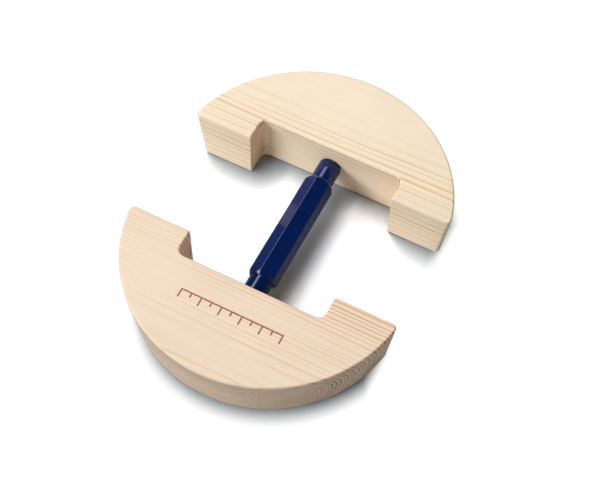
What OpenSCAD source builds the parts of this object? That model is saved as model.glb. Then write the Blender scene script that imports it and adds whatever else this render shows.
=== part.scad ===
// Hat stretcher: two tapered half-round wooden blocks that a turnbuckle pushes apart.
// X runs along the flat faces of the blocks, Y from the front block to the rear block, and Z up
// from the table. The origin is on the table, at the middle of the closed stretcher.

/* [Blocks] */
// Thickness of both blocks
block_t = 35; // [28:1:50]
// Radius of the round rim, before its edges are rounded
rim_r = 81; // [76:0.5:95]
// How far the rim draws in from the top face to the bottom face
rim_taper = 3.8; // [0:0.2:8]
// Radius that the long edges of the rim are rounded to
rim_edge_r = 1.6; // [0.5:0.1:4]
// Depth of the front block, from its flat face to its rim
front_depth = 72; // [56:1:78]
// Depth of the rear block, from its flat face to its rim
rear_depth = 66; // [56:1:78]
// Gap between the flat faces of the blocks when the stretcher is closed
closed_gap = 68.4; // [50:0.2:90]

/* [Notch] */
// Width of the finger notch in each flat face
notch_w = 87.4; // [60:0.2:110]
// Depth of the finger notch
notch_depth = 15; // [8:0.5:22]
// Radius of the notch's two inner corners
notch_corner_r = 4.5; // [1:0.5:7]

/* [Barrel] */
// Width of the hexagon across its flats
hex_af = 15.4; // [14.6:0.2:24]
// Length of the hexagonal grip
hex_len = 71; // [40:1:85]
// Length of the turned chamfer at each end of the hexagon
hex_chamfer_len = 2.5; // [1:0.1:5]
// Lean of the hexagon's top flat towards +X when the stretcher is closed
hex_lean = 20; // [0:1:59]
// Diameter of the round collar at each end of the barrel
collar_d = 13.4; // [12.2:0.2:14.2]
// Chamfer on the rim of each collar
collar_chamfer = 0.5; // [0.2:0.1:1]
// Step from the collar up to the turned end of the hexagon
hex_step = 0.4; // [0.1:0.1:1]
// Room between each collar and its notch floor when the stretcher is closed
collar_room = 1; // [0.3:0.1:3]

/* [Thread] */
// Diameter of the studs, over their threads
stud_d = 8; // [5:0.5:9]
// Travel of each block from closed to fully open
travel = 12.5; // [5:0.5:16]
// Length of each stud inside the barrel
stud_hold = 25; // [12:1:40]
// Chamfer on the ends of the studs
stud_chamfer = 0.8; // [0.3:0.1:1.5]
// Running clearance round the studs, on the radius
thread_clear = 0.05; // [0.02:0.01:0.1]
// Room past the end of each stud in its hole
end_room = 2; // [1:0.5:4]

/* [Inserts] */
// Diameter of the threaded inserts, over their outer threads
insert_d = 12; // [11:0.5:16]
// Length of the threaded inserts, all of it filled by the stud when fully open
insert_len = 18; // [8:1:22]
// Lead-in chamfer at the mouth of each insert
insert_chamfer = 0.7; // [0.2:0.1:1]
// Glue gap round each insert, on the radius
insert_clear = 0.03; // [0.02:0.01:0.1]

/* [Hidden] */
$fn = 128;

PINE = [0.93, 0.84, 0.71];
NAVY = [0.04, 0.08, 0.28];
STEEL = [0.72, 0.73, 0.75];
BRASS = [0.80, 0.66, 0.36];

// Small overlap that lets a cutting shape run past the face it cuts
eps = 0.01;
// Margin by which the large cutting boxes run past the blocks
over = 5;

// Middle of the barrel: the blocks differ in depth, and the origin is at the middle of both
barrel_y = (front_depth - rear_depth) / 2;
axis_z = block_t / 2;
floor_gap = closed_gap + 2 * notch_depth;
barrel_len = floor_gap - 2 * collar_room;

hex_corner_r = hex_af / sqrt(3);
hex_end_r = collar_d / 2 + hex_step;

stud_r = stud_d / 2;
bore_r = stud_r + thread_clear;
// The stud still fills the whole insert when the blocks are fully open
stud_reach = travel + insert_len;
stud_out = stud_reach + collar_room;
stud_len = stud_out + stud_hold;

// Rim wall: radius at a height, its lean, and how far in from it the edge circles lie
rim_bottom_r = rim_r - rim_taper;
rim_lean = atan(rim_taper / block_t);
function wall_r(z) = rim_bottom_r + rim_taper * z / block_t;
function edge_centre(z) = [wall_r(z) - rim_edge_r / cos(rim_lean), z];
wall_normal = [cos(rim_lean), -sin(rim_lean)];

// Half section of the rim: a leaning wall with both edges rounded
module rim_section() {
    low = edge_centre(rim_edge_r);
    high = edge_centre(block_t - rim_edge_r);
    polygon([
        [0, 0],
        [low.x, 0],
        low + rim_edge_r * wall_normal,
        high + rim_edge_r * wall_normal,
        [high.x, block_t],
        [0, block_t]
    ]);
    for (centre = [low, high]) translate(centre) circle(r = rim_edge_r);
}

// Outline of the finger notch, open towards +Y past the flat face at y = 0
module notch_outline() {
    half_w = notch_w / 2;
    corner_x = half_w - notch_corner_r;
    corner_y = notch_corner_r - notch_depth;
    translate([-half_w, corner_y]) square([notch_w, over - corner_y]);
    translate([-corner_x, -notch_depth]) square([2 * corner_x, notch_depth]);
    for (side = [-1, 1]) translate([side * corner_x, corner_y]) circle(r = notch_corner_r);
}

// Lays a shape drawn along +Z down along the thread axis, pointing to -Y from the notch floor
module from_notch_floor() {
    translate([0, -notch_depth, axis_z]) rotate([90, 0, 0]) children();
}

// Half-round block with its flat face at y = 0 and its rim towards -Y
module block(depth) {
    color(PINE) difference() {
        intersection() {
            translate([0, rim_r - depth, 0]) rotate_extrude() rim_section();
            translate([-rim_r - over, -depth - over, -over])
                cube([2 * (rim_r + over), depth + over, block_t + 2 * over]);
        }
        translate([0, 0, -over]) linear_extrude(block_t + 2 * over) notch_outline();
        from_notch_floor() {
            translate([0, 0, -eps]) cylinder(r = insert_d / 2 + insert_clear, h = insert_len + eps);
            cylinder(r = stud_r + insert_clear + thread_clear, h = stud_reach + end_room);
        }
    }
}

// Threaded insert, flush with the notch floor
module insert() {
    color(BRASS) from_notch_floor() difference() {
        cylinder(d = insert_d, h = insert_len);
        translate([0, 0, -eps]) cylinder(r = bore_r, h = insert_len + 2 * eps);
        translate([0, 0, -eps])
            cylinder(r1 = bore_r + insert_chamfer + eps, r2 = bore_r, h = insert_chamfer + eps);
    }
}

// Threaded rod from the inside of the barrel to its end in the block
module stud() {
    tip_r = stud_r - stud_chamfer;
    color(STEEL) from_notch_floor() translate([0, 0, stud_reach - stud_len]) {
        cylinder(r1 = tip_r, r2 = stud_r, h = stud_chamfer);
        translate([0, 0, stud_chamfer]) cylinder(r = stud_r, h = stud_len - 2 * stud_chamfer);
        translate([0, 0, stud_len - stud_chamfer])
            cylinder(r1 = stud_r, r2 = tip_r, h = stud_chamfer);
    }
}

// Solid of revolution, along +Z from z = 0, with a cone of length chamfer at each end
module coned_bar(r, end_r, length, chamfer) {
    cylinder(r1 = end_r, r2 = r, h = chamfer);
    translate([0, 0, chamfer]) cylinder(r = r, h = length - 2 * chamfer);
    translate([0, 0, length - chamfer]) cylinder(r1 = r, r2 = end_r, h = chamfer);
}

// Hexagonal barrel with turned ends, bored from both ends for the studs
module hex_barrel() {
    bore_depth = stud_hold + end_room;
    color(NAVY) translate([0, barrel_y, axis_z]) rotate([0, hex_lean, 0]) rotate([-90, 0, 0])
        difference() {
            union() {
                translate([0, 0, -barrel_len / 2])
                    coned_bar(collar_d / 2, collar_d / 2 - collar_chamfer, barrel_len, collar_chamfer);
                translate([0, 0, -hex_len / 2]) intersection() {
                    cylinder(r = hex_corner_r, h = hex_len, $fn = 6);
                    coned_bar(hex_corner_r, hex_end_r, hex_len, hex_chamfer_len);
                }
            }
            for (end = [0, 1]) mirror([0, 0, end])
                translate([0, 0, barrel_len / 2 - bore_depth]) cylinder(r = bore_r, h = bore_depth + eps);
        }
}

// Places a piece of the front half, or turns it round to the rear half
module front_half() { translate([0, barrel_y - closed_gap / 2, 0]) children(); }
module rear_half() { translate([0, barrel_y + closed_gap / 2, 0]) rotate([0, 0, 180]) children(); }

module front_block() { front_half() block(front_depth); }
module rear_block() { rear_half() block(rear_depth); }
module front_insert() { front_half() insert(); }
module rear_insert() { rear_half() insert(); }
module front_stud() { front_half() stud(); }
module rear_stud() { rear_half() stud(); }

front_block();
rear_block();
front_insert();
rear_insert();
front_stud();
rear_stud();
hex_barrel();
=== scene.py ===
import math

import bmesh
import bpy
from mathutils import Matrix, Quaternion, Vector


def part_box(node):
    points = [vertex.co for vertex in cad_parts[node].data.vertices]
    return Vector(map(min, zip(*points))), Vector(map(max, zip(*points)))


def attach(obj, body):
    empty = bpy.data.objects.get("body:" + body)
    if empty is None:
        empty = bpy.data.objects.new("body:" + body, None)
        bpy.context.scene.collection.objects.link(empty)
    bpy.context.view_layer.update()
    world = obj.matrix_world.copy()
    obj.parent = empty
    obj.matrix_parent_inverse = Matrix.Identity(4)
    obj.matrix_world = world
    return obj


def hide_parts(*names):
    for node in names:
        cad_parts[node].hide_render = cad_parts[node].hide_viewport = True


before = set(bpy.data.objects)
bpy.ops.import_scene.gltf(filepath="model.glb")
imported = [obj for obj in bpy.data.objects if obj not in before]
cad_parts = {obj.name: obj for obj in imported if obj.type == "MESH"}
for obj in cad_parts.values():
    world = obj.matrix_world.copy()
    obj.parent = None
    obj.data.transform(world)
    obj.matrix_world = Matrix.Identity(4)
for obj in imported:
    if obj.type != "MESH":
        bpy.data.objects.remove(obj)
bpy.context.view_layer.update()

bl_info = {
    "name": "Hat Stretcher",
    "version": (1, 0, 0),
    "blender": (4, 5, 0),
    "location": "View3D > Sidebar > Hat Stretcher",
    "description": "Dresses a wooden hat stretcher with a turnbuckle and sets it on a white table",
    "category": "Object",
}

# Lengths in this file are metres, and MM turns millimetres into them
MM = 0.001
# Points nearer than this are one point
MERGE = 0.0005 * MM

# Places that the solids give
FRONT_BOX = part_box("front_block")
REAR_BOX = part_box("rear_block")
BARREL_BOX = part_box("hex_barrel")
BARREL_MIDDLE = (BARREL_BOX[0] + BARREL_BOX[1]) / 2
BARREL_LENGTH = BARREL_BOX[1].y - BARREL_BOX[0].y
BLOCK_TOP = FRONT_BOX[1].z
FRONT_FACE = FRONT_BOX[1].y
REAR_FACE = REAR_BOX[0].y
INSERT_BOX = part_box("front_insert")
INSERT_LENGTH = INSERT_BOX[1].y - INSERT_BOX[0].y


# Colours and settings


def linear(hex_colour):
    """Turns an sRGB hex colour into linear red, green and blue."""
    values = [int(hex_colour[i:i + 2], 16) / 255 for i in (1, 3, 5)]
    return tuple(v / 12.92 if v <= 0.04045 else ((v + 0.055) / 1.055) ** 2.4 for v in values)


def opaque(colour):
    """Adds an alpha of 1 to a colour."""
    return (*colour, 1.0)


def length_setting(label, words, millimetres):
    """A length property with its default given in millimetres."""
    return bpy.props.FloatProperty(
        name=label, description=words, default=millimetres * MM, unit="LENGTH", precision=5
    )


def angle_setting(label, words, degrees):
    """An angle property with its default given in degrees."""
    return bpy.props.FloatProperty(
        name=label, description=words, default=math.radians(degrees), subtype="ANGLE"
    )


def colour_setting(label, words, hex_colour):
    """A colour property with its default given as an sRGB hex value."""
    return bpy.props.FloatVectorProperty(
        name=label, description=words, default=linear(hex_colour), subtype="COLOR", min=0, max=1
    )


class BlockSettings(bpy.types.PropertyGroup):
    """Sizes and wood tones of the two pine blocks"""

    rim_radius: length_setting("Rim radius", "Radius of the round rim at the top face", 81)
    rim_taper: length_setting("Rim taper", "How far the rim draws in towards the bottom face", 3.8)
    front_depth: length_setting("Front depth", "Front block, from flat face to rim", 72)
    rear_depth: length_setting("Rear depth", "Rear block, from flat face to rim", 66)
    notch_width: length_setting("Notch width", "Width of the finger notch", 87.4)
    notch_depth: length_setting("Notch depth", "Depth of the finger notch", 15)
    notch_corner: length_setting("Notch corner", "Radius of the notch's inner corners", 4.5)
    notch_lip: length_setting("Notch lip", "Radius of the notch's outer corners", 0.8)
    ear_corner: length_setting("Ear corner", "Radius of the outer corners of the ears", 2.6)
    front_edge: length_setting("Front edge", "Sanded rounding of the front block's edges", 1.3)
    rear_edge: length_setting("Rear edge", "Sanded rounding of the rear block's edges", 1.4)
    insert_hole: length_setting("Insert hole", "Diameter of the hole for the threaded insert", 12.06)
    stud_hole: length_setting("Stud hole", "Diameter of the hole behind the insert", 8.16)
    hole_depth: length_setting("Hole depth", "Depth of the stud hole below the notch floor", 32.5)
    front_early: colour_setting("Front earlywood", "Pale wood of the front block", "#F4DDC4")
    front_late: colour_setting("Front latewood", "Ring lines of the front block", "#DC964C")
    rear_early: colour_setting("Rear earlywood", "Pale wood of the rear block", "#FAE7CC")
    rear_late: colour_setting("Rear latewood", "Ring lines of the rear block", "#E9B060")


class BarrelSettings(bpy.types.PropertyGroup):
    """Sizes and paint of the hexagonal barrel"""

    across_flats: length_setting("Across flats", "Width of the hexagon across its flats", 15.4)
    hex_length: length_setting("Hexagon length", "Length of the hexagonal grip", 71)
    hex_lean: angle_setting("Hexagon lean", "Lean of the top flat towards +X", 20)
    edge_round: length_setting("Edge rounding", "Radius of the hexagon's long edges", 1.1)
    chamfer_length: length_setting("Chamfer length", "Turned chamfer at each end of the hexagon", 2.5)
    chamfer_step: length_setting("Chamfer step", "Step from the collar to the turned end", 0.4)
    collar_diameter: length_setting("Collar diameter", "Diameter of the round collars", 13.4)
    collar_round: length_setting("Collar rounding", "Rounding of the collars' rims", 0.5)
    bore_diameter: length_setting("Bore diameter", "Diameter of the bores for the studs", 8.1)
    bore_depth: length_setting("Bore depth", "Depth of the bores for the studs", 27)
    paint: colour_setting("Paint", "Navy enamel", "#062058")


class ThreadSettings(bpy.types.PropertyGroup):
    """Sizes of the threads, and the metals"""

    pitch: length_setting("Pitch", "Travel of one turn of the thread", 1.25)
    depth: length_setting("Depth", "Depth of the thread below its crest", 0.72)
    chamfer: length_setting("Chamfer", "Chamfer on the ends of the studs", 0.8)
    steel: colour_setting("Steel", "Zinc plated steel of the studs", "#C9CBD0")
    brass: colour_setting("Brass", "Turned brass of the inserts", "#D9B873")


class MarkSettings(bpy.types.PropertyGroup):
    """Sizes of the plain scale burnt into the front block"""

    steps: bpy.props.IntProperty(
        name="Steps", description="Number of equal steps along the scale", default=10, min=2, max=40
    )
    length: length_setting("Length", "Length of the scale", 60)
    line: length_setting("Line width", "Width of the burnt lines", 0.9)
    short_tick: length_setting("Short tick", "Length of every other tick", 2.8)
    long_tick: length_setting("Long tick", "Length of the ticks between the short ones", 5.2)
    depth: length_setting("Depth", "Depth of the burnt lines", 0.2)
    inland: length_setting("Inland", "Distance of the scale's line from the flat face", 33)
    burn: colour_setting("Burn", "Scorched brown of the lines", "#B0733A")


class StageSettings(bpy.types.PropertyGroup):
    """Camera and table"""

    azimuth: angle_setting("Azimuth", "Turn of the view round the object", 26.1)
    elevation: angle_setting("Elevation", "Height of the view above the table", 59.61)
    roll: angle_setting("Roll", "Tilt of the camera about its view", 1.3)
    place: bpy.props.FloatVectorProperty(
        name="Place",
        description="Where the camera stands",
        default=(176.5 * MM, -346.1 * MM, 675.0 * MM),
        subtype="XYZ",
        unit="LENGTH",
    )
    lens: bpy.props.FloatProperty(
        name="Lens", description="Focal length on a 36 mm sensor", default=82.75, unit="CAMERA"
    )
    table: colour_setting("Table", "Matt white table", "#F8F8F8")


# Meshes


def arc(centre, radius, start, end, steps):
    """Points of an arc from start to end, in degrees, both ends included."""
    angles = [math.radians(start + (end - start) * i / steps) for i in range(steps + 1)]
    return [(centre[0] + radius * math.cos(a), centre[1] + radius * math.sin(a)) for a in angles]


def quarter_turn(steps):
    """Angles from a right angle down to 0."""
    return [math.pi / 2 * (1 - i / steps) for i in range(steps + 1)]


def new_object(name, mesh):
    """An object for a mesh, at the origin of the scene."""
    piece = bpy.data.objects.new(name, mesh)
    bpy.context.scene.collection.objects.link(piece)
    return piece


def loft(name, loops):
    """A closed mesh through loops of points, with a flat cap on the first and last loop."""
    work = bmesh.new()
    rows = [[work.verts.new(point) for point in loop] for loop in loops]
    count = len(rows[0])
    for low, high in zip(rows, rows[1:]):
        for i in range(count):
            j = (i + 1) % count
            work.faces.new((low[i], low[j], high[j], high[i]))
    work.faces.new(rows[0][::-1])
    work.faces.new(rows[-1])
    bmesh.ops.remove_doubles(work, verts=work.verts, dist=MERGE)
    bmesh.ops.dissolve_degenerate(work, edges=work.edges, dist=MERGE)
    bmesh.ops.recalc_face_normals(work, faces=work.faces)
    mesh = bpy.data.meshes.new(name)
    work.to_mesh(mesh)
    work.free()
    return new_object(name, mesh)


def settle(piece):
    """Turns a piece and its modifiers into one plain mesh."""
    bpy.context.view_layer.update()
    evaluated = piece.evaluated_get(bpy.context.evaluated_depsgraph_get())
    mesh = bpy.data.meshes.new_from_object(evaluated)
    piece.modifiers.clear()
    piece.data = mesh
    mesh.name = piece.name


def carve(piece, cutter):
    """Cuts a mesh out of a piece, and keeps the cutter's material on the cut."""
    tool = piece.modifiers.new("carve", "BOOLEAN")
    tool.operation = "DIFFERENCE"
    tool.solver = "EXACT"
    tool.use_self = True
    tool.material_mode = "TRANSFER"
    tool.object = cutter
    settle(piece)
    bpy.data.objects.remove(cutter)


def soften(piece, sharpest):
    """Shades a piece smooth but for edges sharper than an angle, with its flats kept flat."""
    piece.data.shade_smooth()
    piece.data.set_sharp_from_angle(angle=math.radians(sharpest))
    flatten = piece.modifiers.new("flatten", "WEIGHTED_NORMAL")
    flatten.keep_sharp = True
    settle(piece)


def dress(piece, material):
    """Gives a piece one material."""
    piece.data.materials.clear()
    piece.data.materials.append(material)


# Node trees


def add_node(tree, kind, inputs=None, **settings):
    """Adds a node, with its settings, and its inputs as values or as links from other sockets."""
    node = tree.nodes.new(kind)
    for key, value in settings.items():
        setattr(node, key, value)
    for key, value in (inputs or {}).items():
        named = [socket for socket in node.inputs if socket.enabled and socket.name == key]
        target = named[0] if named else node.inputs[key]
        if isinstance(value, bpy.types.NodeSocket):
            tree.links.new(value, target)
        else:
            target.default_value = value
    return node


def new_material(name):
    """An empty node material and its tree."""
    material = bpy.data.materials.new(name)
    material.use_nodes = True
    material.node_tree.nodes.clear()
    return material, material.node_tree


def new_shape_tree(name, sizes):
    """An empty Geometry Nodes tree with a mesh output, and its input node with named sockets."""
    tree = bpy.data.node_groups.new(name, "GeometryNodeTree")
    for label, kind in sizes.items():
        tree.interface.new_socket(label, in_out="INPUT", socket_type=kind)
    tree.interface.new_socket("Mesh", in_out="OUTPUT", socket_type="NodeSocketGeometry")
    return tree, add_node(tree, "NodeGroupInput").outputs


def end_shape_tree(tree, mesh, material):
    """Ends a tree with real faces in one material."""
    real = add_node(tree, "GeometryNodeRealizeInstances", {"Geometry": mesh})
    painted = add_node(
        tree, "GeometryNodeSetMaterial", {"Geometry": real.outputs[0], "Material": material}
    )
    add_node(tree, "NodeGroupOutput", {"Mesh": painted.outputs[0]})


def shape_from_tree(name, tree, sizes):
    """A plain mesh object from a Geometry Nodes tree and the values of its named inputs."""
    piece = new_object(name, bpy.data.meshes.new(name))
    tool = piece.modifiers.new("shape", "NODES")
    tool.node_group = tree
    sockets = {s.name: s.identifier for s in tree.interface.items_tree if s.in_out == "INPUT"}
    for label, value in sizes.items():
        tool[sockets[label]] = value
    settle(piece)
    return piece


# Materials

# Most of a noise texture's values lie between these two
NOISE_LOW, NOISE_HIGH = 0.3, 0.7


def surface_pattern(tree, sizes_mm, detail):
    """Outputs of a noise pattern over a piece, with patches of these sizes along X, Y and Z."""
    place = add_node(tree, "ShaderNodeTexCoord")
    scale = [1 / (size * MM) for size in sizes_mm]
    spread = add_node(
        tree, "ShaderNodeMapping", {"Vector": place.outputs["Object"], "Scale": scale}
    )
    pattern = {"Vector": spread.outputs[0], "Scale": 1.0, "Detail": detail}
    return add_node(tree, "ShaderNodeTexNoise", pattern).outputs


def mottled(tree, colour, pattern, least, most):
    """A colour that a noise pattern makes darker and lighter, from least to most times itself."""
    tone = add_node(
        tree,
        "ShaderNodeMapRange",
        {
            "Value": pattern,
            "From Min": NOISE_LOW,
            "From Max": NOISE_HIGH,
            "To Min": least,
            "To Max": most,
        },
    )
    mixed = add_node(
        tree,
        "ShaderNodeMix",
        {"Factor": 1.0, "A": colour, "B": tone.outputs[0]},
        data_type="RGBA",
        blend_type="MULTIPLY",
    )
    return mixed.outputs["Result"]


def sanded_pine(name, early, late, pith, ring_mm, evenness, quiet_mm, strong_mm, faint, dense_end):
    """Sanded bare pine: matt and pale, with ring lines that follow the log through the block.

    The grain runs along X, and the rings are cylinders round the pith, whose place is given in
    Y and Z, so the top, the end grain and the rim agree. On planed faces the lines have the
    strength faint up to quiet_mm from the pith, and are full from strong_mm.
    """
    material, tree = new_material(name)
    place = add_node(tree, "ShaderNodeTexCoord")
    in_mm = add_node(
        tree, "ShaderNodeMapping", {"Vector": place.outputs["Object"], "Scale": (1 / MM,) * 3}
    ).outputs[0]

    # The log isn't straight: a slow drift of a few millimetres along the grain
    drift_mm = 3.0
    drift = surface_pattern(tree, (170.0, 30.0, 30.0), detail=2.0)
    centred = add_node(
        tree,
        "ShaderNodeVectorMath",
        {0: drift["Color"], 1: (0.5, 0.5, 0.5)},
        operation="SUBTRACT",
    )
    shifted = add_node(
        tree,
        "ShaderNodeVectorMath",
        {0: centred.outputs[0], 1: (0.0, drift_mm, drift_mm), 2: in_mm},
        operation="MULTIPLY_ADD",
    )
    from_pith = add_node(
        tree,
        "ShaderNodeMapping",
        {"Vector": shifted.outputs[0], "Location": (0.0, -pith[0] / MM, -pith[1] / MM)},
    )
    across = add_node(
        tree,
        "ShaderNodeVectorMath",
        {0: from_pith.outputs[0], 1: (0.0, 1.0, 1.0)},
        operation="MULTIPLY",
    )
    radius = add_node(
        tree, "ShaderNodeVectorMath", {0: across.outputs[0]}, operation="LENGTH"
    ).outputs["Value"]

    # Rings are ring_mm wide at this radius, and nearer the pith narrower for an evenness below 1
    outer_mm = 80.0
    share = add_node(tree, "ShaderNodeMath", {0: radius, 1: outer_mm}, operation="DIVIDE")
    grown = add_node(
        tree, "ShaderNodeMath", {0: share.outputs[0], 1: evenness}, operation="POWER"
    )
    steady = add_node(
        tree,
        "ShaderNodeMath",
        {0: grown.outputs[0], 1: outer_mm / ring_mm / evenness},
        operation="MULTIPLY",
    )
    # Good and bad years shift the rings to and fro
    changes_per_ring, shift_in_rings = 0.35, 1.6
    uneven = add_node(
        tree,
        "ShaderNodeTexNoise",
        {"W": steady.outputs[0], "Scale": changes_per_ring, "Detail": 2.0},
        noise_dimensions="1D",
    )
    count = add_node(
        tree,
        "ShaderNodeMath",
        {0: uneven.outputs[0], 1: shift_in_rings, 2: steady.outputs[0]},
        operation="MULTIPLY_ADD",
    ).outputs[0]
    season = add_node(tree, "ShaderNodeMath", {0: count}, operation="FRACT").outputs[0]
    year = add_node(tree, "ShaderNodeMath", {0: count}, operation="FLOOR").outputs[0]

    # Faces across the grain, and the rim, which leans in towards the table and is part end grain
    rim_share = 0.42
    facing = add_node(tree, "ShaderNodeSeparateXYZ", {0: place.outputs["Normal"]})
    turned = add_node(tree, "ShaderNodeMath", {0: facing.outputs["X"]}, operation="ABSOLUTE")
    end_grain = add_node(
        tree,
        "ShaderNodeMapRange",
        {"Value": turned.outputs[0], "From Min": 0.25, "From Max": 1.0},
        interpolation_type="SMOOTHSTEP",
    ).outputs[0]
    leaning = add_node(
        tree,
        "ShaderNodeMapRange",
        {"Value": facing.outputs["Z"], "From Min": -0.03, "From Max": -0.09},
    ).outputs[0]
    on_rim = add_node(tree, "ShaderNodeMath", {0: leaning, 1: rim_share}, operation="MULTIPLY")
    rough_cut = add_node(
        tree, "ShaderNodeMath", {0: end_grain, 1: on_rim.outputs[0]}, operation="MAXIMUM"
    ).outputs[0]

    # Through a season the wood darkens slowly to the latewood line, which ends sharply
    line = add_node(tree, "ShaderNodeValToRGB", {"Fac": season})
    stops = line.color_ramp.elements
    stops[0].position, stops[1].position = 0.0, 1.0
    stops[0].color = stops[1].color = (0.0, 0.0, 0.0, 1.0)
    for position, grey in ((0.10, 0.0), (0.50, 0.05), (0.77, 0.45), (0.90, 1.0), (0.97, 0.85)):
        stops.new(position).color = (grey, grey, grey, 1.0)
    # Some years leave a stronger line than others
    luck = add_node(tree, "ShaderNodeTexWhiteNoise", {"W": year}, noise_dimensions="1D")
    vigour = add_node(
        tree, "ShaderNodeMapRange", {"Value": luck.outputs["Value"], "To Min": 0.42, "To Max": 1.0}
    )
    # Young rings are faint on planed faces, and clear on sawn ones
    planed_age = add_node(
        tree,
        "ShaderNodeMapRange",
        {"Value": radius, "From Min": quiet_mm, "From Max": strong_mm, "To Min": faint},
    )
    age = add_node(
        tree, "ShaderNodeMix", {"Factor": rough_cut, "A": planed_age.outputs[0], "B": 1.0}
    )
    # The lines come and go along the grain
    patch = surface_pattern(tree, (80.0, 13.0, 13.0), detail=1.0)
    patchy = add_node(
        tree,
        "ShaderNodeMapRange",
        {"Value": patch[0], "From Min": 0.35, "From Max": 0.6, "To Min": 0.45},
    )
    # They are weaker towards the left end of the block and stronger towards the right
    left_mm, right_mm = -60.0, 40.0
    along = add_node(tree, "ShaderNodeSeparateXYZ", {0: in_mm})
    dense = add_node(
        tree,
        "ShaderNodeMapRange",
        {
            "Value": along.outputs["X"],
            "From Min": left_mm,
            "From Max": right_mm,
            "To Min": 1 - dense_end,
            "To Max": 1 + dense_end,
        },
    )
    # Where a ring lies flat in a face, its latewood shows broad and pale
    outward = add_node(tree, "ShaderNodeVectorMath", {0: across.outputs[0]}, operation="NORMALIZE")
    flat = add_node(
        tree,
        "ShaderNodeVectorMath",
        {0: outward.outputs[0], 1: place.outputs["Normal"]},
        operation="DOT_PRODUCT",
    )
    flatness = add_node(tree, "ShaderNodeMath", {0: flat.outputs["Value"]}, operation="ABSOLUTE")
    paleness = add_node(
        tree,
        "ShaderNodeMapRange",
        {"Value": flatness.outputs[0], "From Min": 0.9, "To Min": 1.0, "To Max": 0.3},
        interpolation_type="SMOOTHSTEP",
    )

    # The top is sanded finest, so its lines are the faintest
    on_sides, on_top, on_ends, round_rim = 1.45, 1.08, 2.5, 1.5
    upturned = add_node(
        tree,
        "ShaderNodeMapRange",
        {"Value": facing.outputs["Z"], "From Min": 0.3, "From Max": 0.9},
    ).outputs[0]
    polished = add_node(tree, "ShaderNodeMix", {"Factor": upturned, "A": on_sides, "B": on_top})
    sawn = add_node(
        tree, "ShaderNodeMix", {"Factor": end_grain, "A": polished.outputs[0], "B": on_ends}
    )
    bold = add_node(
        tree, "ShaderNodeMix", {"Factor": leaning, "A": sawn.outputs[0], "B": round_rim}
    )
    seen_line = line.outputs[0]
    for weight in (vigour, age, dense, patchy, paleness, bold):
        seen_line = add_node(
            tree, "ShaderNodeMath", {0: seen_line, 1: weight.outputs[0]}, operation="MULTIPLY"
        ).outputs[0]

    # Latewood is browner on the sides than on the top, and brownest on end grain
    deep = [0.4 * value for value in late]
    side_brown = 0.3
    browned = add_node(tree, "ShaderNodeMix", {"Factor": upturned, "A": side_brown, "B": 0.0})
    brown = add_node(
        tree, "ShaderNodeMath", {0: rough_cut, 1: browned.outputs[0]}, operation="MAXIMUM"
    )
    late_here = add_node(
        tree,
        "ShaderNodeMix",
        {"Factor": brown.outputs[0], "A": opaque(late), "B": opaque(deep)},
        data_type="RGBA",
    )
    ringed = add_node(
        tree,
        "ShaderNodeMix",
        {"Factor": seen_line, "A": opaque(early), "B": late_here.outputs["Result"]},
        data_type="RGBA",
    )

    # Fibres: fine streaks along the grain, drawn coarser than real ones so that they show
    fibre = surface_pattern(tree, (22.0, 0.6, 0.6), detail=3.0)[0]
    blush = surface_pattern(tree, (55.0, 55.0, 55.0), detail=1.0)[0]
    streaked = mottled(tree, ringed.outputs["Result"], fibre, 0.96, 1.025)
    wood = mottled(tree, streaked, blush, 0.97, 1.02)

    # End grain in the notch is redder than the planed faces; the rim, which leans in towards the table, is
    # darker by painted shade
    notch_tint, rim_painted_shade = (1.0, 0.85, 0.77), (0.785, 0.78, 0.785)
    in_notch = add_node(
        tree, "ShaderNodeMath", {0: end_grain, 1: leaning}, operation="SUBTRACT", use_clamp=True
    )
    # The notch's redder tint and the rim's painted shade each multiply the wood's colour
    for where, tint in ((in_notch.outputs[0], notch_tint), (leaning, rim_painted_shade)):
        wood = add_node(
            tree,
            "ShaderNodeMix",
            {"Factor": where, "A": wood, "B": opaque(tint)},
            data_type="RGBA",
            blend_type="MULTIPLY",
        ).outputs["Result"]
    relief = add_node(
        tree, "ShaderNodeBump", {"Strength": 0.25, "Distance": 0.05 * MM, "Height": fibre}
    )
    surface = add_node(
        tree,
        "ShaderNodeBsdfPrincipled",
        {
            "Base Color": wood,
            "Roughness": 0.6,
            "IOR": 1.45,
            "Normal": relief.outputs[0],
        },
    )
    add_node(tree, "ShaderNodeOutputMaterial", {"Surface": surface.outputs[0]})
    return material


def burnt_wood(name, burn):
    """Pine scorched by a laser: matt brown, patchy where the grain burns unevenly."""
    material, tree = new_material(name)
    patches = surface_pattern(tree, (4.0, 0.6, 0.6), detail=2.0)
    scorched = mottled(tree, opaque(burn), patches[0], 0.75, 1.3)
    surface = add_node(
        tree,
        "ShaderNodeBsdfPrincipled",
        {"Base Color": scorched, "Roughness": 0.85, "IOR": 1.4},
    )
    add_node(tree, "ShaderNodeOutputMaterial", {"Surface": surface.outputs[0]})
    return material


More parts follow.
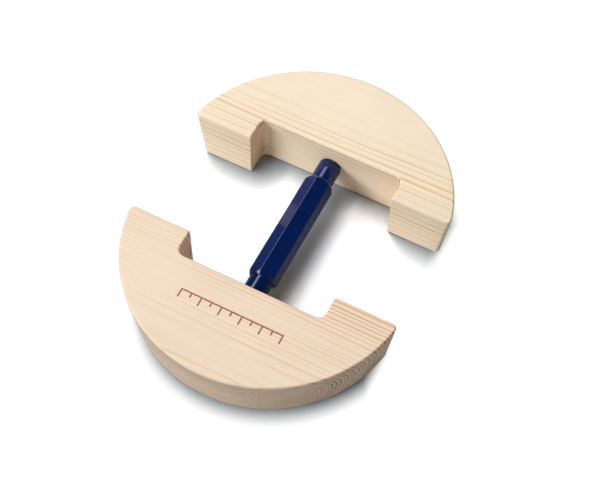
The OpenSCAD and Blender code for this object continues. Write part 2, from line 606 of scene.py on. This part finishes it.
def navy_enamel(name, paint):
    """Sprayed gloss enamel on turned steel: deep, smooth, with a slight orange peel."""
    material, tree = new_material(name)
    peel = surface_pattern(tree, (1.6, 1.6, 1.6), detail=1.0)
    cloud = surface_pattern(tree, (9.0, 9.0, 9.0), detail=2.0)
    coat = mottled(tree, opaque(paint), cloud[0], 0.9, 1.1)
    smoothest, dullest = 0.07, 0.11
    gloss = add_node(
        tree,
        "ShaderNodeMapRange",
        {
            "Value": cloud[0],
            "From Min": NOISE_LOW,
            "From Max": NOISE_HIGH,
            "To Min": smoothest,
            "To Max": dullest,
        },
    )
    relief = add_node(
        tree,
        "ShaderNodeBump",
        {"Strength": 0.12, "Distance": 0.02 * MM, "Height": peel[0]},
    )
    surface = add_node(
        tree,
        "ShaderNodeBsdfPrincipled",
        {
            "Base Color": coat,
            "Roughness": gloss.outputs[0],
            "IOR": 1.42,
            "Normal": relief.outputs[0],
        },
    )
    add_node(tree, "ShaderNodeOutputMaterial", {"Surface": surface.outputs[0]})
    return material


def turned_metal(name, colour, grain_mm, roughness):
    """Turned or rolled metal: bright, with fine marks round the axis and small dull patches."""
    material, tree = new_material(name)
    # Round the axis, which lies along Y, the marks change slowly
    around_mm = 50 / 3
    marks = surface_pattern(tree, (around_mm, grain_mm, around_mm), detail=2.0)
    dull = add_node(
        tree,
        "ShaderNodeMapRange",
        {
            "Value": marks[0],
            "From Min": NOISE_LOW,
            "From Max": NOISE_HIGH,
            "To Min": roughness * 0.75,
            "To Max": roughness * 1.3,
        },
    )
    tinted = mottled(tree, opaque(colour), marks[0], 0.88, 1.05)
    surface = add_node(
        tree,
        "ShaderNodeBsdfPrincipled",
        {"Base Color": tinted, "Metallic": 1.0, "Roughness": dull.outputs[0]},
    )
    add_node(tree, "ShaderNodeOutputMaterial", {"Surface": surface.outputs[0]})
    return material


# Strength of what the camera sees as plain white
PLAIN_WHITE = 1.05


def ray_kinds(tree):
    """Whether the camera looks straight at a surface, and whether gloss or glass shows it."""
    ray = add_node(tree, "ShaderNodeLightPath").outputs
    mirrored = add_node(
        tree,
        "ShaderNodeMath",
        {0: ray["Is Glossy Ray"], 1: ray["Is Transmission Ray"]},
        operation="MAXIMUM",
    )
    return ray["Is Camera Ray"], mirrored.outputs[0]


def white_table(name, colour, middles, rim_radius, clear_spot):
    """Matt white board: it takes the shadows close to the blocks, and is plain white elsewhere.

    The shade ends beyond the rims, whose middles are given, past the blocks' right side, and
    round one clear spot.
    """
    material, tree = new_material(name)
    seen, mirrored = ray_kinds(tree)
    place = add_node(tree, "ShaderNodeTexCoord").outputs["Object"]
    *to_middles, to_spot = [
        add_node(tree, "ShaderNodeVectorMath", {0: place, 1: point}, operation="DISTANCE").outputs["Value"]
        for point in (*middles, clear_spot)
    ]
    nearer = add_node(
        tree, "ShaderNodeMath", {0: to_middles[0], 1: to_middles[1]}, operation="MINIMUM"
    )
    across = add_node(tree, "ShaderNodeSeparateXYZ", {0: place})
    # What is measured, where the shade starts to fade, and where the board is plain white
    fades = (
        (nearer.outputs[0], rim_radius - 5 * MM, rim_radius + 9 * MM),
        (across.outputs["X"], rim_radius - 10.5 * MM, rim_radius - 1.5 * MM),
        (to_spot, 34 * MM, 18 * MM),
    )
    plain = 0.0
    for measure, shaded, clear in fades:
        fade = add_node(
            tree,
            "ShaderNodeMapRange",
            {"Value": measure, "From Min": shaded, "From Max": clear},
            interpolation_type="SMOOTHSTEP",
        )
        plain = add_node(
            tree, "ShaderNodeMath", {0: plain, 1: fade.outputs[0]}, operation="MAXIMUM"
        ).outputs[0]
    glowing = add_node(tree, "ShaderNodeMath", {0: plain, 1: seen}, operation="MULTIPLY")

    # Close to the wood the shade is deeper than soft lamps alone make it, most on a piece's right
    shade_reach, away_from_shade = 20 * MM, (-0.72, -0.05, 1.0)
    lean = add_node(tree, "ShaderNodeVectorMath", {0: away_from_shade}, operation="NORMALIZE")
    corner = add_node(
        tree,
        "ShaderNodeAmbientOcclusion",
        {"Distance": shade_reach, "Normal": lean.outputs[0]},
        samples=8,
    )
    # A cool white, because the wood throws a warm light on the board
    deep_shade, open_board = (0.41, 0.47, 0.53), (1.365, 1.42, 1.475)
    seen_tone = add_node(
        tree,
        "ShaderNodeMapRange",
        {
            "Vector": corner.outputs["AO"],
            "From Min": (0.55,) * 3,
            "From Max": (0.95,) * 3,
            "To Min": deep_shade,
            "To Max": open_board,
        },
        data_type="FLOAT_VECTOR",
    )
    # In the gloss of the paint the board is a mid grey
    in_gloss = (0.33, 0.33, 0.33)
    lit = add_node(
        tree,
        "ShaderNodeMix",
        {"Factor": mirrored, "A": opaque(colour), "B": opaque(in_gloss)},
        data_type="RGBA",
    )
    shown = add_node(
        tree,
        "ShaderNodeMix",
        {"Factor": seen, "A": lit.outputs["Result"], "B": seen_tone.outputs["Vector"]},
        data_type="RGBA",
    )
    board = add_node(tree, "ShaderNodeBsdfDiffuse", {"Color": shown.outputs["Result"]})
    glow = add_node(tree, "ShaderNodeEmission", {"Strength": PLAIN_WHITE})
    surface = add_node(
        tree,
        "ShaderNodeMixShader",
        {0: glowing.outputs[0], 1: board.outputs[0], 2: glow.outputs[0]},
    )
    add_node(tree, "ShaderNodeOutputMaterial", {"Surface": surface.outputs[0]})
    return material


# Wooden blocks


def block_outline(size, depth, radius, inset):
    """Outline of a block drawn in by inset, with its flat face at y = 0 and its rim towards -Y."""
    half = size.notch_width / 2
    lip = max(size.notch_lip, inset)
    corner = max(size.ear_corner, inset)
    fillet = size.notch_corner
    fillet_y = fillet - size.notch_depth
    rim_y = size.rim_radius - depth
    corner_x = math.sqrt((radius - corner) ** 2 - (rim_y + corner) ** 2)
    turn = math.degrees(math.atan2(-rim_y - corner, corner_x))
    lip_steps, corner_steps, rim_steps, fillet_steps = 5, 8, 120, 10
    return [
        *arc((half + lip, -lip), lip - inset, 180, 90, lip_steps),
        *arc((corner_x, -corner), corner - inset, 90, turn, corner_steps),
        *arc((0, rim_y), radius - inset, turn, -180 - turn, rim_steps),
        *arc((-corner_x, -corner), corner - inset, -180 - turn, -270, corner_steps),
        *arc((-half - lip, -lip), lip - inset, 90, 0, lip_steps),
        *arc((fillet - half, fillet_y), fillet + inset, 180, 270, fillet_steps),
        *arc((half - fillet, fillet_y), fillet + inset, 270, 360, fillet_steps),
    ]


def block_levels(edge):
    """Heights in a block and the inset of its outline there, for edges rounded to a radius."""
    quarter = [(edge * (1 - math.sin(a)), edge * (1 - math.cos(a))) for a in quarter_turn(7)]
    return quarter + [(BLOCK_TOP - z, inset) for z, inset in reversed(quarter)]


def wooden_block(name, size, depth, edge, face_y, facing):
    """A half-round block with a tapered rim, a finger notch and a hole for the insert and stud."""
    loops = []
    for z, inset in block_levels(edge):
        radius = size.rim_radius - size.rim_taper * (1 - z / BLOCK_TOP)
        outline = block_outline(size, depth, radius, inset)
        loops.append([(facing * x, face_y + facing * y, z) for x, y in outline])
    block = loft(name, loops)
    floor_y = face_y - facing * size.notch_depth
    # Depths below the notch floor and radii of the hole, which starts a little above the floor
    above, sides = 0.5 * MM, 64
    hole = [
        (-above, size.insert_hole / 2),
        (INSERT_LENGTH, size.insert_hole / 2),
        (INSERT_LENGTH, size.stud_hole / 2),
        (size.hole_depth, size.stud_hole / 2),
    ]
    rings = []
    for depth_in, hole_radius in hole:
        circle = arc((0, BARREL_MIDDLE.z), hole_radius, 0, 360 - 360 / sides, sides - 1)
        rings.append([(x, floor_y - facing * depth_in, z) for x, z in circle])
    carve(block, loft(name + "_hole", rings))
    return block


def scale_tree():
    """Shapes that cut a plain scale: one long line and a row of ticks, long and short in turn."""
    tree, size = new_shape_tree(
        "burnt scale",
        {
            "Steps": "NodeSocketInt",
            "Length": "NodeSocketFloat",
            "Line": "NodeSocketFloat",
            "Short": "NodeSocketFloat",
            "Long": "NodeSocketFloat",
            "Depth": "NodeSocketFloat",
            "Middle": "NodeSocketVector",
            "Material": "NodeSocketMaterial",
        },
    )
    count = add_node(tree, "ShaderNodeMath", {0: size["Steps"], 1: 1.0}, operation="ADD")
    step = add_node(
        tree, "ShaderNodeMath", {0: size["Length"], 1: size["Steps"]}, operation="DIVIDE"
    )
    left = add_node(tree, "ShaderNodeMath", {0: size["Length"], 1: -0.5}, operation="MULTIPLY")
    start = add_node(tree, "ShaderNodeCombineXYZ", {"X": left.outputs[0]})
    stride = add_node(tree, "ShaderNodeCombineXYZ", {"X": step.outputs[0]})
    row = add_node(
        tree,
        "GeometryNodeMeshLine",
        {
            "Count": count.outputs[0],
            "Start Location": start.outputs[0],
            "Offset": stride.outputs[0],
        },
    )
    index = add_node(tree, "GeometryNodeInputIndex")
    odd = add_node(tree, "ShaderNodeMath", {0: index.outputs[0], 1: 2.0}, operation="MODULO")
    tall = add_node(
        tree,
        "ShaderNodeMix",
        {"Factor": odd.outputs[0], "A": size["Long"], "B": size["Short"]},
    ).outputs[0]
    drop = add_node(tree, "ShaderNodeMath", {0: tall, 1: -0.5}, operation="MULTIPLY")
    below = add_node(tree, "ShaderNodeCombineXYZ", {"Y": drop.outputs[0]})
    hung = add_node(
        tree, "GeometryNodeSetPosition", {"Geometry": row.outputs[0], "Offset": below.outputs[0]}
    )
    cut = add_node(tree, "ShaderNodeMath", {0: size["Depth"], 1: 2.0}, operation="MULTIPLY")
    tick_size = add_node(
        tree, "ShaderNodeCombineXYZ", {"X": size["Line"], "Y": tall, "Z": cut.outputs[0]}
    )
    brick = add_node(tree, "GeometryNodeMeshCube")
    ticks = add_node(
        tree,
        "GeometryNodeInstanceOnPoints",
        {
            "Points": hung.outputs[0],
            "Instance": brick.outputs[0],
            "Scale": tick_size.outputs[0],
        },
    )
    full = add_node(
        tree, "ShaderNodeMath", {0: size["Length"], 1: size["Line"]}, operation="ADD"
    )
    line_size = add_node(
        tree,
        "ShaderNodeCombineXYZ",
        {"X": full.outputs[0], "Y": size["Line"], "Z": cut.outputs[0]},
    )
    line = add_node(tree, "GeometryNodeMeshCube", {"Size": line_size.outputs[0]})
    both = add_node(tree, "GeometryNodeJoinGeometry", {"Geometry": ticks.outputs[0]})
    tree.links.new(line.outputs[0], both.inputs[0])
    placed = add_node(
        tree,
        "GeometryNodeTransform",
        {"Geometry": both.outputs[0], "Translation": size["Middle"]},
    )
    end_shape_tree(tree, placed.outputs[0], size["Material"])
    return tree


# Barrel and studs

# A sixth of a turn
SIXTH = math.pi / 3


def hexagon_radius(angle, flat, edge):
    """Distance from the middle to the side of a hexagon with rounded corners, at an angle."""
    off_flat = abs((angle + SIXTH / 2) % SIXTH - SIXTH / 2)
    inner = flat - edge
    if math.tan(off_flat) * flat <= inner * math.tan(SIXTH / 2):
        return flat / math.cos(off_flat)
    corner = inner / math.cos(SIXTH / 2)
    off_corner = SIXTH / 2 - off_flat
    return corner * math.cos(off_corner) + math.sqrt(edge ** 2 - (corner * math.sin(off_corner)) ** 2)


def soft_least(a, b, blend):
    """The lesser of two values, with a rounded change from one to the other."""
    near = max(blend - abs(a - b), 0) / blend
    return min(a, b) - near ** 2 * blend / 4


def hexagon_angles(flat, edge):
    """Angles round the hexagon: even over each flat and close together over each corner."""
    bend = math.atan((flat - edge) * math.tan(SIXTH / 2) / flat)
    side_steps, corner_steps = 14, 6
    angles = []
    for i in range(6):
        angles += [SIXTH * i - bend + 2 * bend * j / side_steps for j in range(side_steps)]
        angles += [
            SIXTH * i + bend + (SIXTH - 2 * bend) * j / corner_steps for j in range(corner_steps)
        ]
    return angles


def painted_barrel(name, size):
    """A hexagonal bar with turned chamfers, round collars and a blind bore in each end."""
    flat = size.across_flats / 2
    corner = flat / math.cos(SIXTH / 2)
    collar = size.collar_diameter / 2
    bore = size.bore_diameter / 2
    hex_end = size.hex_length / 2
    far_end = BARREL_LENGTH / 2
    angles = hexagon_angles(flat, size.edge_round)

    def round_ring(radius):
        return [radius] * len(angles)

    # The turned cone and the flats blend where their radii differ by less than this
    blend = 0.12 * MM

    def hexagon_ring(inward):
        turned = collar + size.chamfer_step
        turned += (corner - turned) * inward / size.chamfer_length
        return [
            soft_least(hexagon_radius(a, flat, size.edge_round), turned, blend) for a in angles
        ]

    # The rings run on past the chamfer, to where its softened line ends
    cut_steps, run_on = 26, 1.15
    reach = size.chamfer_length * run_on
    half = [(far_end - size.bore_depth, round_ring(bore)), (far_end, round_ring(bore))]
    for a in quarter_turn(5):
        lip = size.collar_round
        half.append((far_end - lip * (1 - math.sin(a)), round_ring(collar - lip * (1 - math.cos(a)))))
    half.append((hex_end, round_ring(collar)))
    half += [
        (hex_end - reach * i / cut_steps, hexagon_ring(reach * i / cut_steps))
        for i in range(cut_steps + 1)
    ]
    levels = half + [(-along, radii) for along, radii in reversed(half)]
    lean = math.pi / 2 - size.hex_lean
    loops = [
        [
            (
                BARREL_MIDDLE.x + r * math.cos(a + lean),
                BARREL_MIDDLE.y + along,
                BARREL_MIDDLE.z + r * math.sin(a + lean),
            )
            for a, r in zip(angles, radii)
        ]
        for along, radii in levels
    ]
    return loft(name, loops)


def thread_tree():
    """A threaded rod: a cylinder whose surface is drawn in along a helix, with chamfered ends."""
    tree, size = new_shape_tree(
        "rolled thread",
        {
            "Radius": "NodeSocketFloat",
            "Length": "NodeSocketFloat",
            "Pitch": "NodeSocketFloat",
            "Depth": "NodeSocketFloat",
            "Chamfer": "NodeSocketFloat",
            "Hand": "NodeSocketFloat",
            "Middle": "NodeSocketVector",
            "Material": "NodeSocketMaterial",
        },
    )
    rings_per_turn, sides = 12.0, 64
    turns = add_node(
        tree, "ShaderNodeMath", {0: size["Length"], 1: size["Pitch"]}, operation="DIVIDE"
    )
    rings = add_node(
        tree, "ShaderNodeMath", {0: turns.outputs[0], 1: rings_per_turn}, operation="MULTIPLY"
    )
    rod = add_node(
        tree,
        "GeometryNodeMeshCylinder",
        {
            "Vertices": sides,
            "Side Segments": rings.outputs[0],
            "Radius": size["Radius"],
            "Depth": size["Length"],
        },
    )
    at = add_node(tree, "GeometryNodeInputPosition")
    axes = add_node(tree, "ShaderNodeSeparateXYZ", {0: at.outputs[0]}).outputs
    angle = add_node(tree, "ShaderNodeMath", {0: axes["Y"], 1: axes["X"]}, operation="ARCTAN2")
    round_share = add_node(
        tree, "ShaderNodeMath", {0: angle.outputs[0], 1: 2 * math.pi}, operation="DIVIDE"
    )
    along = add_node(
        tree, "ShaderNodeMath", {0: axes["Z"], 1: size["Pitch"]}, operation="DIVIDE"
    )
    helix = add_node(
        tree,
        "ShaderNodeMath",
        {0: round_share.outputs[0], 1: size["Hand"], 2: along.outputs[0]},
        operation="MULTIPLY_ADD",
    )
    # A flank runs from crest to root, in shares of the pitch off the crest's middle
    crest, root = 0.06, 0.40
    wave = add_node(
        tree, "ShaderNodeMath", {0: helix.outputs[0], 1: 0.5}, operation="PINGPONG"
    )
    groove = add_node(
        tree,
        "ShaderNodeMapRange",
        {
            "Value": wave.outputs[0],
            "From Min": crest,
            "From Max": root,
            "To Min": 0.0,
            "To Max": size["Depth"],
        },
    )
    cut = add_node(
        tree,
        "ShaderNodeMath",
        {0: size["Radius"], 1: groove.outputs[0]},
        operation="SUBTRACT",
    )
    off_middle = add_node(tree, "ShaderNodeMath", {0: axes["Z"]}, operation="ABSOLUTE")
    to_end = add_node(
        tree,
        "ShaderNodeMath",
        {0: size["Length"], 1: 0.5, 2: size["Radius"]},
        operation="MULTIPLY_ADD",
    )
    cone = add_node(
        tree,
        "ShaderNodeMath",
        {0: to_end.outputs[0], 1: off_middle.outputs[0]},
        operation="SUBTRACT",
    )
    chamfered = add_node(
        tree, "ShaderNodeMath", {0: cone.outputs[0], 1: size["Chamfer"]}, operation="SUBTRACT"
    )
    least = add_node(
        tree,
        "ShaderNodeMath",
        {0: cut.outputs[0], 1: chamfered.outputs[0]},
        operation="MINIMUM",
    )
    shrink = add_node(
        tree, "ShaderNodeMath", {0: least.outputs[0], 1: size["Radius"]}, operation="DIVIDE"
    )
    factor = add_node(
        tree,
        "ShaderNodeCombineXYZ",
        {"X": shrink.outputs[0], "Y": shrink.outputs[0], "Z": 1.0},
    )
    pulled = add_node(
        tree,
        "ShaderNodeVectorMath",
        {0: at.outputs[0], 1: factor.outputs[0]},
        operation="MULTIPLY",
    )
    threaded = add_node(
        tree,
        "GeometryNodeSetPosition",
        {"Geometry": rod.outputs["Mesh"], "Position": pulled.outputs[0]},
    )
    placed = add_node(
        tree,
        "GeometryNodeTransform",
        {
            "Geometry": threaded.outputs[0],
            "Translation": size["Middle"],
            "Rotation": (math.pi / 2, 0.0, 0.0),
        },
    )
    end_shape_tree(tree, placed.outputs[0], size["Material"])
    return tree


# Table, lamps and camera

WHITE, COOL_WHITE = (1.0, 1.0, 1.0), (0.96, 0.985, 1.0)
# Softboxes: name, place, aim, width, height, power in watts and colour
LAMPS = (
    ("key_softbox", (-0.64, 0.30, 1.64), (0.0, 0.0, 0.0), 0.68, 0.68, 13.4, WHITE),
    ("strip_softbox", (-0.66, 0.90, 1.55), (0.0, 0.0, 0.02), 1.40, 0.50, 11.2, WHITE),
    ("front_softbox", (-1.00, -1.22, 0.80), (0.0, 0.0, 0.0), 1.00, 0.64, 21.0, COOL_WHITE),
    ("right_softbox", (1.60, -0.22, 0.34), (0.0, 0.0, 0.0), 0.96, 0.40, 4.8, WHITE),
)
# In millimetres, as a camera takes it
SENSOR_WIDTH = 36.0


def lay_table(blocks, colour):
    """A white board just below the blocks."""
    half_x, half_y, below = 0.14, 0.17, 0.2 * MM
    corners = [
        (x * half_x, y * half_y, -below) for x, y in ((-1, -1), (1, -1), (1, 1), (-1, 1))
    ]
    mesh = bpy.data.meshes.new("table")
    mesh.from_pydata(corners, [], [(0, 1, 2, 3)])
    table = new_object("table", mesh)
    middles = [
        (0.0, FRONT_BOX[0].y + blocks.rim_radius, 0.0),
        (0.0, REAR_BOX[1].y - blocks.rim_radius, 0.0),
    ]
    notch_corner = (-blocks.notch_width / 2, FRONT_FACE, 0.0)
    dress(table, white_table("matt_white_board", colour, middles, blocks.rim_radius, notch_corner))


def hang_softboxes():
    """The lamps of the list, each turned to its aim."""
    for name, place, aim, width, height, power, tint in LAMPS:
        lamp = bpy.data.lights.new(name, "AREA")
        lamp.shape = "RECTANGLE"
        lamp.size = width
        lamp.size_y = height
        lamp.energy = power
        lamp.color = tint
        holder = new_object(name, lamp)
        holder.location = place
        holder.rotation_mode = "QUATERNION"
        holder.rotation_quaternion = (Vector(aim) - Vector(place)).to_track_quat("-Z", "Y")


def light_world(scene):
    """A dim room round the table: the eye sees it white, and the gloss sees a pale horizon."""
    world = bpy.data.worlds.new("studio")
    scene.world = world
    world.use_nodes = True
    tree = world.node_tree
    tree.nodes.clear()
    seen, mirrored = ray_kinds(tree)
    place = add_node(tree, "ShaderNodeTexCoord")
    up = add_node(tree, "ShaderNodeSeparateXYZ", {0: place.outputs["Generated"]})
    ambient, low, high = 0.04, 0.12, 0.02
    horizon = add_node(
        tree,
        "ShaderNodeMapRange",
        {"Value": up.outputs["Z"], "From Min": 0.05, "From Max": 0.5, "To Min": low, "To Max": high},
        interpolation_type="SMOOTHSTEP",
    )
    room = add_node(
        tree, "ShaderNodeMix", {"Factor": mirrored, "A": ambient, "B": horizon.outputs[0]}
    )
    strength = add_node(
        tree, "ShaderNodeMix", {"Factor": seen, "A": room.outputs[0], "B": PLAIN_WHITE}
    )
    sky = add_node(
        tree, "ShaderNodeBackground", {"Color": opaque(WHITE), "Strength": strength.outputs[0]}
    )
    add_node(tree, "ShaderNodeOutputWorld", {"Surface": sky.outputs[0]})


def set_camera(scene, size):
    """A camera that looks at the stretcher from the set angles."""
    lens = bpy.data.cameras.new("camera")
    lens.lens = size.lens
    lens.sensor_width = SENSOR_WIDTH
    camera = new_object("camera", lens)
    ahead = Vector(
        (
            -math.sin(size.azimuth) * math.cos(size.elevation),
            math.cos(size.azimuth) * math.cos(size.elevation),
            -math.sin(size.elevation),
        )
    )
    camera.location = size.place
    camera.rotation_mode = "QUATERNION"
    camera.rotation_quaternion = ahead.to_track_quat("-Z", "Y") @ Quaternion((0, 0, 1), size.roll)
    scene.camera = camera


# Operators and panel


class STRETCHER_OT_blocks(bpy.types.Operator):
    """Build the two pine blocks, with a plain scale burnt into the front one"""

    bl_idname = "stretcher.blocks"
    bl_label = "Wooden blocks"

    def execute(self, context):
        size = context.scene.stretcher_blocks
        mark = context.scene.stretcher_mark
        front_pine = sanded_pine(
            "sanded_pine_front",
            size.front_early,
            size.front_late,
            pith=(FRONT_FACE - 57 * MM, 17 * MM),
            ring_mm=2.6,
            evenness=0.75,
            quiet_mm=28.0,
            strong_mm=54.0,
            faint=0.4,
            dense_end=0.4,
        )
        rear_pine = sanded_pine(
            "sanded_pine_rear",
            size.rear_early,
            size.rear_late,
            pith=(REAR_FACE + 51 * MM, -20.0 * MM),
            ring_mm=1.87,
            evenness=1.0,
            quiet_mm=55.0,
            strong_mm=63.0,
            faint=0.2,
            dense_end=0.15,
        )
        burnt = burnt_wood("burnt_pine", mark.burn)
        front = wooden_block(
            "pine_front_block", size, size.front_depth, size.front_edge, FRONT_FACE, 1
        )
        rear = wooden_block(
            "pine_rear_block", size, size.rear_depth, size.rear_edge, REAR_FACE, -1
        )
        dress(front, front_pine)
        dress(rear, rear_pine)
        scale = shape_from_tree(
            "burnt_scale",
            scale_tree(),
            {
                "Steps": mark.steps,
                "Length": mark.length,
                "Line": mark.line,
                "Short": mark.short_tick,
                "Long": mark.long_tick,
                "Depth": mark.depth,
                "Middle": (0.0, FRONT_FACE - mark.inland, BLOCK_TOP),
                "Material": burnt,
            },
        )
        carve(front, scale)
        for block, node, body in (
            (front, "front_block", "front_half"),
            (rear, "rear_block", "rear_half"),
        ):
            soften(block, sharpest=40)
            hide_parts(node)
            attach(block, body)
        return {"FINISHED"}


class STRETCHER_OT_barrel(bpy.types.Operator):
    """Build the painted hexagonal barrel"""

    bl_idname = "stretcher.barrel"
    bl_label = "Hexagonal barrel"

    def execute(self, context):
        size = context.scene.stretcher_barrel
        barrel = painted_barrel("navy_barrel", size)
        dress(barrel, navy_enamel("navy_enamel", size.paint))
        soften(barrel, sharpest=50)
        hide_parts("hex_barrel")
        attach(barrel, "barrel")
        return {"FINISHED"}


class STRETCHER_OT_studs(bpy.types.Operator):
    """Build the two studs, threaded to opposite hands"""

    bl_idname = "stretcher.studs"
    bl_label = "Threaded studs"

    def execute(self, context):
        size = context.scene.stretcher_thread
        steel = turned_metal("zinc_plated_steel", size.steel, grain_mm=0.3, roughness=0.32)
        tree = thread_tree()
        # A hand of 1 is a left-hand thread, and -1 a right-hand one
        for node, hand in (("front_stud", 1.0), ("rear_stud", -1.0)):
            low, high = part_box(node)
            stud = shape_from_tree(
                "threaded_" + node,
                tree,
                {
                    "Radius": (high.z - low.z) / 2,
                    "Length": high.y - low.y,
                    "Pitch": size.pitch,
                    "Depth": size.depth,
                    "Chamfer": size.chamfer,
                    "Hand": hand,
                    "Middle": (low + high) / 2,
                    "Material": steel,
                },
            )
            stud.data.shade_smooth()
            stud.data.set_sharp_from_angle(angle=math.radians(50))
            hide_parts(node)
            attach(stud, "studs")
        return {"FINISHED"}


class STRETCHER_OT_inserts(bpy.types.Operator):
    """Give the two threaded inserts their brass"""

    bl_idname = "stretcher.inserts"
    bl_label = "Threaded inserts"

    def execute(self, context):
        size = context.scene.stretcher_thread
        brass = turned_metal("turned_brass", size.brass, grain_mm=0.25, roughness=0.28)
        for node in ("front_insert", "rear_insert"):
            dress(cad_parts[node], brass)
        return {"FINISHED"}


class STRETCHER_OT_stage(bpy.types.Operator):
    """Set the table, the lights and the camera"""

    bl_idname = "stretcher.stage"
    bl_label = "Stage"

    def execute(self, context):
        size = context.scene.stretcher_stage
        lay_table(context.scene.stretcher_blocks, size.table)
        hang_softboxes()
        light_world(context.scene)
        set_camera(context.scene, size)
        context.scene.view_settings.view_transform = "Standard"
        return {"FINISHED"}


class STRETCHER_PT_panel(bpy.types.Panel):
    """Buttons for the stage and the pieces, in the order in which they are built"""

    bl_idname = "STRETCHER_PT_panel"
    bl_label = "Hat Stretcher"
    bl_space_type = "VIEW_3D"
    bl_region_type = "UI"
    bl_category = "Hat Stretcher"

    def draw(self, context):
        for operator in OPERATORS:
            self.layout.operator(operator.bl_idname)


SETTINGS = {
    "stretcher_blocks": BlockSettings,
    "stretcher_barrel": BarrelSettings,
    "stretcher_thread": ThreadSettings,
    "stretcher_mark": MarkSettings,
    "stretcher_stage": StageSettings,
}
OPERATORS = (
    STRETCHER_OT_stage,
    STRETCHER_OT_blocks,
    STRETCHER_OT_barrel,
    STRETCHER_OT_studs,
    STRETCHER_OT_inserts,
)


def register():
    """Registers the settings, the operators and the panel."""
    for name, group in SETTINGS.items():
        bpy.utils.register_class(group)
        setattr(bpy.types.Scene, name, bpy.props.PointerProperty(type=group))
    for item in (*OPERATORS, STRETCHER_PT_panel):
        bpy.utils.register_class(item)


def unregister():
    """Takes back what register added."""
    for item in reversed((*OPERATORS, STRETCHER_PT_panel)):
        bpy.utils.unregister_class(item)
    for name, group in SETTINGS.items():
        delattr(bpy.types.Scene, name)
        bpy.utils.unregister_class(group)


def main():
    """Builds the stretcher and its stage."""
    register()
    bpy.ops.stretcher.stage()
    bpy.ops.stretcher.blocks()
    bpy.ops.stretcher.barrel()
    bpy.ops.stretcher.studs()
    bpy.ops.stretcher.inserts()
    bpy.context.view_layer.update()


if __name__ == "__main__":
    main()
